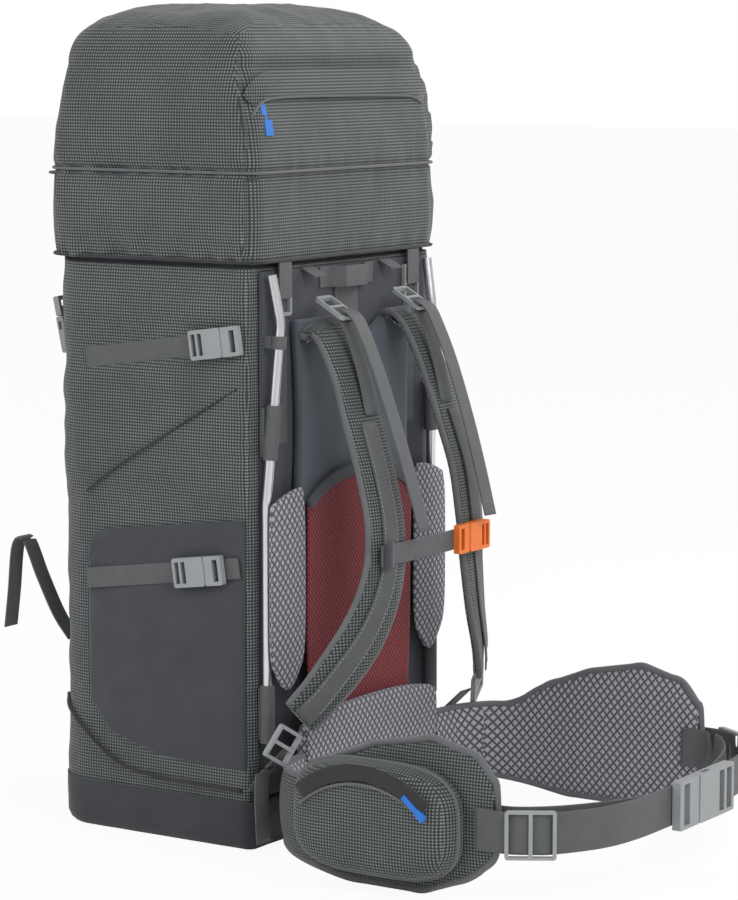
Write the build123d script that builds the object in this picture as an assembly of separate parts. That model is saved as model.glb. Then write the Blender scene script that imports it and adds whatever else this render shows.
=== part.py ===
"""Trekking backpack with a floating lid, a tubular frame, a sliding shoulder harness and a winged hip belt.

Millimetres, +Z up. The origin is the centre of the flat base. The harness faces -Y, so the wearer's right is -X.
Paired pieces are built for the right side (-X) and mirrored to the left.
"""
import math
import os

from build123d import *

os.makedirs("parts", exist_ok=True)

# ---- driving dimensions: the pack bag ----
BAG_HALF_WIDTH = 160.0
BAG_BACK_Y = -125.0
BAG_FRONT_Y = 118.0
BAG_TOP_Z = 552.0
BAG_WALL = 3.0
FRONT_CORNER_R = 50.0
BACK_CORNER_R = 12.0
BASE_HEIGHT = 46.0
BASE_WALL = 2.5
COLLAR_TOP_Z = 622.0
COLLAR_WALL = 2.0
COLLAR_LAP = 20.0
CORD_D = 3.0

# ---- clearances ----
SEAT_GAP = 0.2      # pieces sewn or lying on each other
MOVING_GAP = 0.4    # pieces that move past each other

# ---- webbing, buckles and ladderlocks ----
WEB = 20.0
WEB_THICK = 1.5
BELT_WEB = 38.0
BELT_WEB_THICK = 1.6
BUCKLE_THICK = 8.0
BELT_BUCKLE_THICK = 10.0
BUCKLE_SIDE = 4.0   # plastic beside the webbing slot, on each side
RELEASE_TRAVEL = 25.0

# ---- side compression straps ----
STRAP_TILT = 8.0
STRAP_FRONT_Y = 66.0
UPPER_JOINT_Y, UPPER_JOINT_Z = -98.0, 483.0
LOWER_JOINT_Y, LOWER_JOINT_Z = -79.0, 266.0
POCKET_FABRIC = 2.5

# ---- lid ----
LID_HALF_WIDTH = 166.0
LID_REAR_Y = -131.0
LID_FRONT_Y = 130.0
LID_BOTTOM_Z = 556.0
LID_WALL = 3.0
LID_SEAM_Z = 640.0
LID_PEAK_Z = 800.0
LID_REAR_RIM_Z = 728.0
LID_FRONT_RIM_Z = 764.0
LID_PIVOT_Y, LID_PIVOT_Z = -138.0, 545.0
FRONT_STRAP_X = 97.0
FRONT_JOINT_Y, FRONT_JOINT_Z = 137.0, 484.0
FRONT_PRONG_MID = 8.0   # half of the prongs' reach, so that they leave the socket along the lid's arc
REAR_STRAP_X = 112.0

# ---- frame ----
TUBE_R = 4.75
TUBE_WALL = 1.0
TUBE_ROUTE = [(-145, -132.5, 110), (-145, -132.5, 330), (-133, -141, 500), (-136, -133, 545)]
TUBE_BEND_R = [120, 45]
SLEEVE_R = 7.0

# ---- back panel ----
MESH_HALF_WIDTH = 96.0
MESH_FRONT_Y = -143.0
MESH_THICK = 1.5
MESH_BOTTOM_Z, MESH_TOP_Z = 60.0, 348.0
SIDE_PAD_THICK = 5.0
YOKE_BACK_Y, YOKE_THICK = -127.0, 9.0
VARIO_WEB = 40.0

# ---- shoulder straps: side profile (y, z) and front profile (x, z) of the padded strap ----
PAD_WIDTH = 50.0
PAD_THICK = 12.0
PAD_SIDE_LINE = [(-136.5, 493), (-158, 487), (-178, 450), (-194, 405), (-212, 350), (-221, 300),
                 (-221, 255), (-211, 205), (-193, 158), (-178, 132)]
PAD_FRONT_LINE = [(-72, 505), (-72, 450), (-77, 380), (-75, 310), (-80, 260), (-103, 210), (-140, 160), (-166, 128)]
LIFTER_X = 67.0
STERNUM_Z = 283.0
STERNUM_TRAVEL = 20.0

# ---- hip belt ----
WING_THICK = 14.0
WING_LINE = [(-116.3, -153.5), (-150, -160), (-178, -178), (-193, -205), (-198, -240), (-198, -330), (-196, -415)]
BELT_BUCKLE_Y = -508.0
BELT_CENTRE_Z = 68.0
POCKET_DEPTH = 34.0
POCKET_WALL = 2.0
POCKET_Y0, POCKET_Y1 = -386.0, -212.0
POCKET_Z0, POCKET_Z1 = 14.0, 120.0
ZIP_ARC_R = 100.0


# ---------------------------------------------------------------- helpers
def export(name, *solids):
    """Write one node, from one solid or a group of separate solids."""
    shape = solids[0] if len(solids) == 1 else Compound(children=list(solids))
    export_step(shape, f"parts/{name}.step")


def mirrored(shape):
    """The left-hand twin of a right-hand piece."""
    return mirror(shape, about=Plane.YZ)


def prism(plane, outline, low, high):
    """Extrude a closed outline, given in the plane's own coordinates, from low to high along its normal."""
    face = make_face(Polyline(*outline, close=True))
    return plane.offset(low) * extrude(face, high - low)


SIDE_PLANE = Plane(origin=(0, 0, 0), x_dir=(0, 1, 0), z_dir=(1, 0, 0))
FRONT_PLANE = Plane(origin=(0, 0, 0), x_dir=(1, 0, 0), z_dir=(0, -1, 0))


def prism_x(outline, low, high):
    """Prism along X of an outline in (y, z)."""
    return prism(SIDE_PLANE, outline, low, high)


def prism_y(outline, low, high):
    """Prism along Y of an outline in (x, z)."""
    return prism(FRONT_PLANE, outline, -high, -low)


def prism_z(outline, low, high):
    """Prism along Z of an outline in (x, y)."""
    return prism(Plane.XY, outline, low, high)


def band(points, thickness, shift=0.0):
    """Outline of a strip of even thickness along a line of points, moved sideways by shift (to the left)."""
    left, right = [], []
    for i, (px, py) in enumerate(points):
        before = points[max(i - 1, 0)]
        after = points[min(i + 1, len(points) - 1)]
        into = _unit(px - before[0], py - before[1]) if i else _unit(after[0] - px, after[1] - py)
        out = _unit(after[0] - px, after[1] - py) if i < len(points) - 1 else into
        nx, ny = -(into[1] + out[1]) / 2, (into[0] + out[0]) / 2
        square = nx * nx + ny * ny
        nx, ny = nx / square, ny / square
        left.append((px + nx * (shift + thickness / 2), py + ny * (shift + thickness / 2)))
        right.append((px + nx * (shift - thickness / 2), py + ny * (shift - thickness / 2)))
    return left + right[::-1]


def _unit(x, y):
    length = math.hypot(x, y)
    return x / length, y / length


def rounded_box(half_width, back_y, front_y, back_r, front_r, low, high):
    """Upright block with its own back and front corner radii."""
    block = Pos(0, (back_y + front_y) / 2, (low + high) / 2) * Box(2 * half_width, front_y - back_y, high - low)
    uprights = block.edges().filter_by(Axis.Z).sort_by(Axis.Y)
    block = fillet(uprights[:2], back_r)
    return fillet(block.edges().filter_by(Axis.Z).sort_by(Axis.Y)[-2:], front_r)


def bag_block(grow, low, high):
    """Block with the bag's outline, grown outwards by grow."""
    return rounded_box(BAG_HALF_WIDTH + grow, BAG_BACK_Y - grow, BAG_FRONT_Y + grow,
                       max(BACK_CORNER_R + grow, 1.5), FRONT_CORNER_R + grow, low, high)


def tube_between(start, end, outer_r, inner_r):
    """Straight round tube from one point to another."""
    start, end = Vector(*start), Vector(*end)
    plane = Plane(origin=start, z_dir=end - start)
    length = (end - start).length
    ring = extrude(Circle(outer_r), length) - extrude(Circle(inner_r), length)
    return plane * ring


def local_box(u0, u1, width, w0, w1):
    """Box from u0 to u1 along a strap, centred across it, from w0 to w1 in its thickness."""
    return Pos((u0 + u1) / 2, 0, (w0 + w1) / 2) * Box(u1 - u0, width, w1 - w0)


# ---------------------------------------------------------------- webbing hardware, in strap coordinates
# u runs along the strap from the socket to the prongs, v across it and w out of it; the joint face is at u = 0.
def socket_half(web, thick):
    """Socket half of a side-release buckle, with the ladder bars that adjust the webbing."""
    length, width = 1.8 * web, web + 2 * BUCKLE_SIDE
    depth = 0.85 * web
    bar = 0.13 * web
    body = Pos(-length / 2, 0, 0) * Box(length, width, thick)
    body = fillet(body.edges().filter_by(Axis.Z), 2.5)
    body -= local_box(-depth, 1, web + 1, -thick / 2 + 1.6, thick / 2 - 1.6)
    for side in (-1, 1):
        body -= Pos(-0.45 * web, side * width / 2, 0) * Box(0.4 * web, 5, thick / 2)
    slot = (length - depth - 1.5 - 3 * bar) / 2
    for i in range(2):
        start = -length + bar + i * (slot + bar)
        body -= local_box(start, start + slot, web + 0.6, -thick, thick)
    return body


def prong_half(web, thick):
    """Prong half: a plate with a webbing slot, a centre tongue and two side arms."""
    width, reach = web + 2 * BUCKLE_SIDE, 0.85 * web - 1.0
    plate = local_box(MOVING_GAP, web, width, -thick / 2 + 0.8, thick / 2 - 0.8)
    plate = fillet(plate.edges().filter_by(Axis.Z), 2.0)
    plate -= local_box(0.5 * web, 0.8 * web, web + 0.6, -thick, thick)
    inner = thick / 2 - 1.6 - MOVING_GAP
    tongue = local_box(-reach, MOVING_GAP + 1, 0.2 * web, -inner, inner)
    half = plate + tongue
    for side in (-1, 1):
        arm = Pos((1 - reach) / 2, side * 0.39 * web, 0) * Box(reach + 1, 0.13 * web, 2 * inner)
        half += arm
    return half


def ladderlock(web, length, thick=4.0):
    """Two-slot adjuster, centred on u = 0."""
    body = fillet(Box(length, web + 2 * 3.0, thick).edges().filter_by(Axis.Z), 3.0)
    slot = (length - 3 * 3.5) / 2
    for side in (-1, 1):
        body -= Pos(side * (slot + 3.5) / 2, 0, 0) * Box(slot, web + 0.6, 2 * thick)
    return body


# ---------------------------------------------------------------- the bag
def bag_shell():
    floor_z = BASE_WALL + SEAT_GAP
    outer = bag_block(0, floor_z, BAG_TOP_Z)
    return outer - bag_block(-BAG_WALL, floor_z + BAG_WALL, BAG_TOP_Z + 1)


def base_panel():
    outer = bag_block(SEAT_GAP + BASE_WALL, 0, BASE_HEIGHT)
    return outer - bag_block(SEAT_GAP, BASE_WALL, BASE_HEIGHT + 1)


def snow_collar():
    grow = -BAG_WALL - SEAT_GAP
    outer = bag_block(grow, BAG_TOP_Z - COLLAR_LAP, COLLAR_TOP_Z)
    return outer - bag_block(grow - COLLAR_WALL, BAG_TOP_Z - COLLAR_LAP - 1, COLLAR_TOP_Z + 1)


def collar_drawcord():
    """Round cord drawn about the collar near its rim."""
    z = COLLAR_TOP_Z - 12
    path = bag_block(-BAG_WALL + CORD_D / 2, z - 10, z).faces().sort_by(Axis.Z)[-1].outer_wire()
    section = Plane(origin=path @ 0, z_dir=path % 0) * Circle(CORD_D / 2)
    return sweep(section, path=path)


def side_pocket():
    """Stretch pocket lying flat on the side of the bag."""
    outline = [(-118, 316), (41, 296), (60, 288), (66, 270), (66, 128), (43, 97), (-17, 80), (-118, 77)]
    outer = -(BAG_HALF_WIDTH + SEAT_GAP)
    return prism_x(outline, outer - POCKET_FABRIC, outer)


def side_strap_plane(joint_y, joint_z, base_x):
    """Strap coordinates on the right side, with the buckle's mid plane above webbing that lies on base_x."""
    tilt = math.radians(STRAP_TILT)
    x = -(base_x + SEAT_GAP + WEB_THICK + MOVING_GAP + BUCKLE_THICK / 2)
    return Plane(origin=(x, joint_y, joint_z), x_dir=(0, -math.cos(tilt), math.sin(tilt)), z_dir=(-1, 0, 0))


def side_strap(joint_y, joint_z, base_x, stub_end_y):
    """Webbing from the front corner to under the socket, and the sewn stub under the prongs."""
    plane = side_strap_plane(joint_y, joint_z, base_x)
    high = -BUCKLE_THICK / 2 - MOVING_GAP
    low = high - WEB_THICK
    cos_tilt = math.cos(math.radians(STRAP_TILT))
    front = (joint_y - STRAP_FRONT_Y) / cos_tilt
    stub = (joint_y - stub_end_y) / cos_tilt
    return [plane * local_box(front, -2, WEB, low, high), plane * local_box(2, stub, WEB, low, high)]


def side_straps():
    """All side webbing: upper and lower, right and left."""
    upper = side_strap(UPPER_JOINT_Y, UPPER_JOINT_Z, BAG_HALF_WIDTH, -116)
    lower = side_strap(LOWER_JOINT_Y, LOWER_JOINT_Z, BAG_HALF_WIDTH + SEAT_GAP + POCKET_FABRIC, -114)
    right = upper + lower
    return right + [mirrored(s) for s in right]


# ---------------------------------------------------------------- front webbing and its buckles
def front_strap_plane():
    """Strap coordinates for the right front lid strap. It points along the arc that the lid swings on."""
    dy, dz = FRONT_JOINT_Y - LID_PIVOT_Y, FRONT_JOINT_Z - LID_PIVOT_Z
    reach = math.hypot(dy, dz)
    along = Vector(0, -dz / reach, dy / reach)
    tangent_point = Vector(-FRONT_STRAP_X, FRONT_JOINT_Y, FRONT_JOINT_Z)
    return Plane(origin=tangent_point + along * FRONT_PRONG_MID, x_dir=along, z_dir=(0, dy / reach, dz / reach))


def daisy_chain():
    """Front webbing sewn up the bag, with the top end free behind the socket half."""
    y0 = BAG_FRONT_Y + SEAT_GAP
    lower = BASE_HEIGHT + 4
    return Pos(-FRONT_STRAP_X, y0 + WEB_THICK / 2, (lower + 482) / 2) * Box(WEB, WEB_THICK, 482 - lower)


def lid_front_strap():
    """Webbing from the prong half up to the outside of the lid's front wall."""
    plane = front_strap_plane()
    behind = 0.8 - BUCKLE_THICK / 2 - SEAT_GAP - WEB_THICK / 2
    low = plane.from_local_coords((3, 0, behind))
    high = plane.from_local_coords((WEB, 0, behind))
    on_lid = LID_FRONT_Y + SEAT_GAP + WEB_THICK / 2
    line = [(low.Y, low.Z), (high.Y, high.Z), (on_lid, LID_BOTTOM_Z + 4), (on_lid, LID_SEAM_Z - 20)]
    return prism_x(band(line, WEB_THICK), -FRONT_STRAP_X - WEB / 2, -FRONT_STRAP_X + WEB / 2)


def front_tail():
    """Spare webbing of the front strap: out from the bag, over a fold and down."""
    line = [(BAG_FRONT_Y + 0.9, 174), (150, 214), (176, 272), (190, 266), (196, 215), (200, 178)]
    return prism_x(band(line, WEB_THICK), -FRONT_STRAP_X - 10 - WEB, -FRONT_STRAP_X - 10)


# ---------------------------------------------------------------- lid
def lid_block(inset):
    """Solid with the lid's outside shape, moved in by inset on every side but the bottom."""
    rear, front = LID_REAR_Y + inset, LID_FRONT_Y - inset
    top = LID_PEAK_Z - inset
    bottom = LID_BOTTOM_Z - inset
    plan = rounded_box(LID_HALF_WIDTH - inset, rear, front, 20 - inset, 40 - inset, bottom, top + 1)
    peak_y = 10
    rear_rim, front_rim = (rear + 17, LID_REAR_RIM_Z - inset), (front - 14, LID_FRONT_RIM_Z - inset)
    edges = [Line((rear, bottom), (rear, LID_SEAM_Z)), Line((rear, LID_SEAM_Z), rear_rim),
             ThreePointArc(rear_rim, (peak_y - 30, top - 2), front_rim),
             Line(front_rim, (front, LID_SEAM_Z)), Line((front, LID_SEAM_Z), (front, bottom)),
             Line((front, bottom), (rear, bottom))]
    side = SIDE_PLANE.offset(-LID_HALF_WIDTH) * extrude(make_face(edges), 2 * LID_HALF_WIDTH)
    w = LID_HALF_WIDTH - inset
    shoulder = LID_FRONT_RIM_Z - 24 - inset
    edges = [Line((-w, bottom), (-w, LID_SEAM_Z)), Line((-w, LID_SEAM_Z), (-w + 8, shoulder)),
             ThreePointArc((-w + 8, shoulder), (0, top), (w - 8, shoulder)),
             Line((w - 8, shoulder), (w, LID_SEAM_Z)), Line((w, LID_SEAM_Z), (w, bottom)),
             Line((w, bottom), (-w, bottom))]
    across = FRONT_PLANE.offset(-200) * extrude(make_face(edges), 400)
    return plan & side & across


def lid_shell():
    return lid_block(0) - lid_block(LID_WALL)


def lid_liner():
    """Floor of the lid pocket."""
    inset = LID_WALL + SEAT_GAP
    return rounded_box(LID_HALF_WIDTH - inset, LID_REAR_Y + inset, LID_FRONT_Y - inset, 20 - inset, 40 - inset,
                       LID_SEAM_Z - 6, LID_SEAM_Z - 4)


def rear_slope_plane(z):
    """Plane on the sloping rear face of the lid at height z, x along +X and y up the slope."""
    rise, run = LID_REAR_RIM_Z - LID_SEAM_Z, 17.0
    share = (z - LID_SEAM_Z) / rise
    length = math.hypot(rise, run)
    return Plane(origin=(0, LID_REAR_Y + run * share, z), x_dir=(1, 0, 0), z_dir=(0, -rise / length, run / length))


def lid_zip_flap():
    """Storm flap over the zip, high on the lid's rear face."""
    return rear_slope_plane(714) * Pos(0, 0, SEAT_GAP + 1) * Box(284, 22, 2)


def lid_zip_slider():
    """Slider and pull tab just under the storm flap, at the closed end of the zip."""
    body = Pos(-134, -17, SEAT_GAP + 2.0) * Box(8, 10, 3)
    tab = Pos(-130, -34, SEAT_GAP + 2.5) * Box(12, 15, 2.5)
    neck = Pos(-132, -25, SEAT_GAP + 2.5) * Box(3, 10, 2)
    return rear_slope_plane(714) * (body + neck + tab)


# ---------------------------------------------------------------- frame
def frame_tube():
    path = FilletPolyline(*TUBE_ROUTE, radius=TUBE_BEND_R)
    section = Plane(origin=path @ 0, z_dir=path % 0)
    return sweep(section * Circle(TUBE_R), path=path) - sweep(section * Circle(TUBE_R - TUBE_WALL), path=path)


def on_tube(segment, share):
    """Point on a straight run of the frame tube."""
    a, b = TUBE_ROUTE[segment], TUBE_ROUTE[segment + 1]
    return tuple(p + (q - p) * share for p, q in zip(a, b))


def frame_sleeves():
    """Webbing keepers round the tube, each with a tab sewn back to the bag."""
    found = []
    for segment, low, high in ((0, -0.03, 0.22), (1, 0.25, 0.55), (1, 0.86, 0.93)):
        start, end = on_tube(segment, low), on_tube(segment, high)
        keeper = tube_between(start, end, SLEEVE_R, TUBE_R + SEAT_GAP)
        x, y = (start[0] + end[0]) / 2, (start[1] + end[1]) / 2
        tab_back = BAG_BACK_Y - SEAT_GAP
        if y + TUBE_R + 1.5 < tab_back - 0.5:
            height = (end[2] - start[2]) * 0.9
            front = y + TUBE_R + 1.2
            keeper += Pos(x, (front + tab_back) / 2, (start[2] + end[2]) / 2) * Box(9, tab_back - front, height)
        found.append(keeper)
    return found


def side_pad():
    """Honeycomb mesh pad in front of the frame tube."""
    outline = [(-157, 176), (-156, 330), (-98, 344), (-97, 250), (-92, 176), (-112, 150), (-140, 150)]
    back = TUBE_ROUTE[0][1] - SLEEVE_R - MOVING_GAP
    return prism_y(outline, back - SIDE_PAD_THICK, back)


def back_mesh():
    """Tensioned mesh the wearer's back rests on."""
    half = MESH_HALF_WIDTH - 4.5
    outline = [(-half + 6, MESH_BOTTOM_Z), (-half, 170), (-half, 320), (-50, 340), (0, MESH_TOP_Z), (50, 340),
               (half, 320), (half, 170), (half - 6, MESH_BOTTOM_Z)]
    return prism_y(outline, MESH_FRONT_Y, MESH_FRONT_Y + MESH_THICK)


def mesh_hem():
    """Bound lower edge of the mesh, sewn back to the bag above the lumbar pad."""
    depth = BAG_BACK_Y - MESH_FRONT_Y - 2 * SEAT_GAP
    return Pos(0, (MESH_FRONT_Y + BAG_BACK_Y) / 2, MESH_BOTTOM_Z - 5 - SEAT_GAP) * Box(160, depth, 10)


def height_strap():
    """Central webbing that the harness plate rides on."""
    return Pos(0, BAG_BACK_Y - SEAT_GAP - 0.7, 400) * Box(VARIO_WEB, 1.2, 270)


def haul_loop():
    """Carrying loop under the lid's rear edge: two sewn ends and a raised grip."""
    line = [(-46, -126.2), (-30, -126.2), (-18, -138), (18, -138), (30, -126.2), (46, -126.2)]
    return prism_z(band(line, 2.0), 527, 547)


# ---------------------------------------------------------------- lid rear straps
def rear_strap_plane(z):
    return Plane(origin=(-REAR_STRAP_X, LID_REAR_Y - SEAT_GAP, z), x_dir=(0, 0, 1), z_dir=(0, -1, 0))


def lid_rear_strap():
    """Webbing stub under the lid edge, and the long fixed webbing down the bag behind the adjuster."""
    stub = rear_strap_plane(LID_BOTTOM_Z) * local_box(-34, -0.4, WEB, 0, WEB_THICK)
    long_end = Pos(-REAR_STRAP_X, BAG_BACK_Y - SEAT_GAP - WEB_THICK / 2, 459) * Box(WEB, WEB_THICK, 150)
    return [stub, long_end]


def lid_rear_ladderlock():
    """Adjuster in front of the stub, hung by it."""
    return rear_strap_plane(523) * Pos(0, 0, -2.5) * ladderlock(WEB, 36, 4)


# ---------------------------------------------------------------- harness
def yoke():
    """Harness plate between the bag and the mesh, with the shoulder collar at its top."""
    outline = [(-100, 352), (-100, 300), (100, 300), (100, 352), (92, 430), (97, 500), (60, 500), (42, 476),
               (-42, 476), (-60, 500), (-97, 500), (-92, 430)]
    return prism_y(outline, YOKE_BACK_Y - YOKE_THICK, YOKE_BACK_Y)


def shoulder_pad():
    """Padded strap: an even band in side view, cut to its curved outline in front view."""
    side = prism_x(band(PAD_SIDE_LINE, PAD_THICK), -260, 0)
    front = prism_y(band(PAD_FRONT_LINE, PAD_WIDTH), -300, YOKE_BACK_Y - YOKE_THICK - SEAT_GAP)
    return side & front


def shoulder_webbing():
    """Webbing sewn down the outside of the padded strap."""
    shift = -(PAD_THICK / 2 + SEAT_GAP + WEB_THICK / 2)
    side = prism_x(band(PAD_SIDE_LINE[3:], WEB_THICK, shift), -260, 0)
    front = prism_y(band(PAD_FRONT_LINE, WEB), -300, 0)
    return side & front


def load_lifter():
    """Webbing from the padded strap up to the lifter adjuster, and its free tail."""
    low, high = -LIFTER_X - WEB / 2, -LIFTER_X + WEB / 2
    lift = band([(-199, 412), (-189, 450), (-174, 490), (-166.2, 503.4), (-157.5, 508.4)], WEB_THICK)
    tail = band([(-168, 509.5), (-179, 505), (-187, 494), (-205, 455), (-225, 400), (-241, 350), (-254, 305)],
                WEB_THICK)
    return [prism_x(lift, low, high), prism_x(tail, low + 2, high + 2)]


def lifter_anchor():
    """Short webbing sewn to the bag's top edge, above the lifter adjuster."""
    return prism_x(band([(BAG_BACK_Y - 1.0, 548), (-141, 540)], WEB_THICK), -LIFTER_X - 10, -LIFTER_X + 10)


def lifter_ladderlock():
    tilt = math.radians(30)
    plane = Plane(origin=(-LIFTER_X, -159, 511), x_dir=(0, -math.cos(tilt), -math.sin(tilt)),
                  z_dir=(0, -math.sin(tilt), math.cos(tilt)))
    return plane * ladderlock(WEB, 36, 4)


def lower_plane():
    """Strap coordinates at the lower adjuster of the shoulder strap, u pointing down the strap."""
    return Plane(origin=(-175, -170.5, 111), x_dir=(-0.45, 0.30, -0.84), z_dir=(-0.30, -0.92, -0.17))


def lower_ladderlock():
    return lower_plane() * ladderlock(WEB + 4, 34, 5)


def lower_strap():
    """Webbing from the bag's bottom corner up to the adjuster, and the tail that hangs from it."""
    anchor = prism_x(band([(BAG_BACK_Y - 1.1, 60), (-140, 78), (-168.0, 106)], WEB_THICK), -170, -146)
    tail = prism_x(band([(-146.4, 82.8), (-146, 60), (-149, 14)], WEB_THICK), -186, -162)
    return [anchor, tail]


# ---------------------------------------------------------------- sternum strap
STERNUM_Y = -235.2
STERNUM_JOINT_X = 48.0


def sternum_plane():
    """Strap coordinates of the chest buckle: u along +X, w towards the wearer's front."""
    return Plane(origin=(STERNUM_JOINT_X, STERNUM_Y, STERNUM_Z), x_dir=(-1, 0, 0), z_dir=(0, -1, 0))


def sternum_webbing():
    """Long right-hand webbing behind the prong half."""
    high = -BUCKLE_THICK / 2 - MOVING_GAP
    return sternum_plane() * local_box(3, 146, WEB, high - WEB_THICK, high)


def sternum_stub():
    high = -BUCKLE_THICK / 2 - MOVING_GAP
    return sternum_plane() * local_box(-44, -2, WEB, high - WEB_THICK, high)


# ---------------------------------------------------------------- hip belt
def lumbar_pad():
    """Middle of the hip belt, in front of the mesh's lower edge."""
    plan = band([(-115, -153), (-60, -152), (0, -151.5), (60, -152), (115, -153)], WING_THICK - 2)
    outline = [(-115, 22), (-60, 16), (60, 16), (115, 22), (115, 112), (60, 128), (-60, 128), (-115, 112)]
    return prism_z(plan, 0, 140) & prism_y(outline, -180, -130)


def lumbar_mount():
    """Fabric block that carries the lumbar pad on the bag."""
    back = BAG_BACK_Y - SEAT_GAP - BASE_WALL - SEAT_GAP
    front = -151.5 + (WING_THICK - 2) / 2 + SEAT_GAP
    return Pos(0, (back + front) / 2, 35) * Box(150, back - front, 24)


def belt_wing():
    """Padded wing: an even band in plan, cut to its curved outline in side view."""
    plan = prism_z(band(WING_LINE, WING_THICK), 0, 160)
    outline = [(-140, 24), (-185, 16), (-260, 2), (-340, 2), (-392, 22), (-418, 62), (-418, 96), (-396, 132),
               (-350, 144), (-290, 132), (-235, 110), (-205, 90), (-140, 86)]
    return plan & prism_x(outline, -260, 0)


def belt_pocket():
    """Zipped pocket on the outside of the wing, open towards it."""
    base_x = WING_LINE[4][0] - WING_THICK / 2 - SEAT_GAP
    size_y, size_z = POCKET_Y1 - POCKET_Y0, POCKET_Z1 - POCKET_Z0
    mid_y, mid_z = (POCKET_Y0 + POCKET_Y1) / 2, (POCKET_Z0 + POCKET_Z1) / 2
    block = Pos(base_x - POCKET_DEPTH / 2, mid_y, mid_z) * Box(POCKET_DEPTH, size_y, size_z)
    block = fillet(block.edges().filter_by(Axis.X), 30)
    block = fillet(block.faces().sort_by(Axis.X)[0].edges(), 12)
    inner = Pos(base_x - (POCKET_DEPTH - POCKET_WALL) / 2 + 1, mid_y, mid_z) * Box(
        POCKET_DEPTH - POCKET_WALL + 2, size_y - 2 * POCKET_WALL, size_z - 2 * POCKET_WALL)
    inner = fillet(inner.edges().filter_by(Axis.X), 30 - POCKET_WALL)
    inner = fillet(inner.faces().sort_by(Axis.X)[0].edges(), 12 - POCKET_WALL)
    return block - inner


def pocket_zip_slider():
    """Slider and pull at the front end of the pocket's curved zip."""
    base_x = WING_LINE[4][0] - WING_THICK / 2 - SEAT_GAP - POCKET_DEPTH
    angle = math.radians(40)
    mid_y, centre_z = (POCKET_Y0 + POCKET_Y1) / 2, POCKET_Z1 - 14 - ZIP_ARC_R
    y, z = mid_y - ZIP_ARC_R * math.sin(angle), centre_z + ZIP_ARC_R * math.cos(angle)
    plane = Plane(origin=(base_x - MOVING_GAP, y, z), x_dir=(0, math.cos(angle), math.sin(angle)), z_dir=(-1, 0, 0))
    body = Pos(0, 0, 1.5) * Box(10, 7, 3)
    tab = Pos(14, 0, 1.6) * Box(20, 5, 2.2)
    return plane * (body + tab)


def belt_webbing():
    """Doubled webbing from the wing tip round to the buckle."""
    low, high = BELT_CENTRE_Z - BELT_WEB / 2, BELT_CENTRE_Z + BELT_WEB / 2
    end_y = BELT_BUCKLE_Y + BELT_BUCKLE_THICK / 2 + MOVING_GAP + BELT_WEB_THICK / 2
    outer = [(-205.0, -398), (-204.2, -430), (-182.5, -466), (-139, -490), (-90, end_y + 2), (-22, end_y)]
    inner = [(-188.2, -398), (-187, -424), (-168, -452), (-134, -474), (-88, -487), (-60, -490)]
    return [prism_z(band(line, BELT_WEB_THICK), low, high) for line in (outer, inner)]


def belt_slider():
    """Three-bar adjuster on the outside of the belt webbing, just off the wing tip."""
    plane = Plane(origin=(-193.5, -448, BELT_CENTRE_Z), x_dir=(0.521, -0.853, 0), z_dir=(-0.853, -0.521, 0))
    return plane * Pos(0, 0, BELT_WEB_THICK / 2 + MOVING_GAP + 2.5) * ladderlock(BELT_WEB, 46, 5)


def belt_plane():
    """Strap coordinates of the belt buckle: prongs on the right-hand side, socket on the left."""
    return Plane(origin=(6, BELT_BUCKLE_Y, BELT_CENTRE_Z), x_dir=(-1, 0, 0), z_dir=(0, -1, 0))


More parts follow.
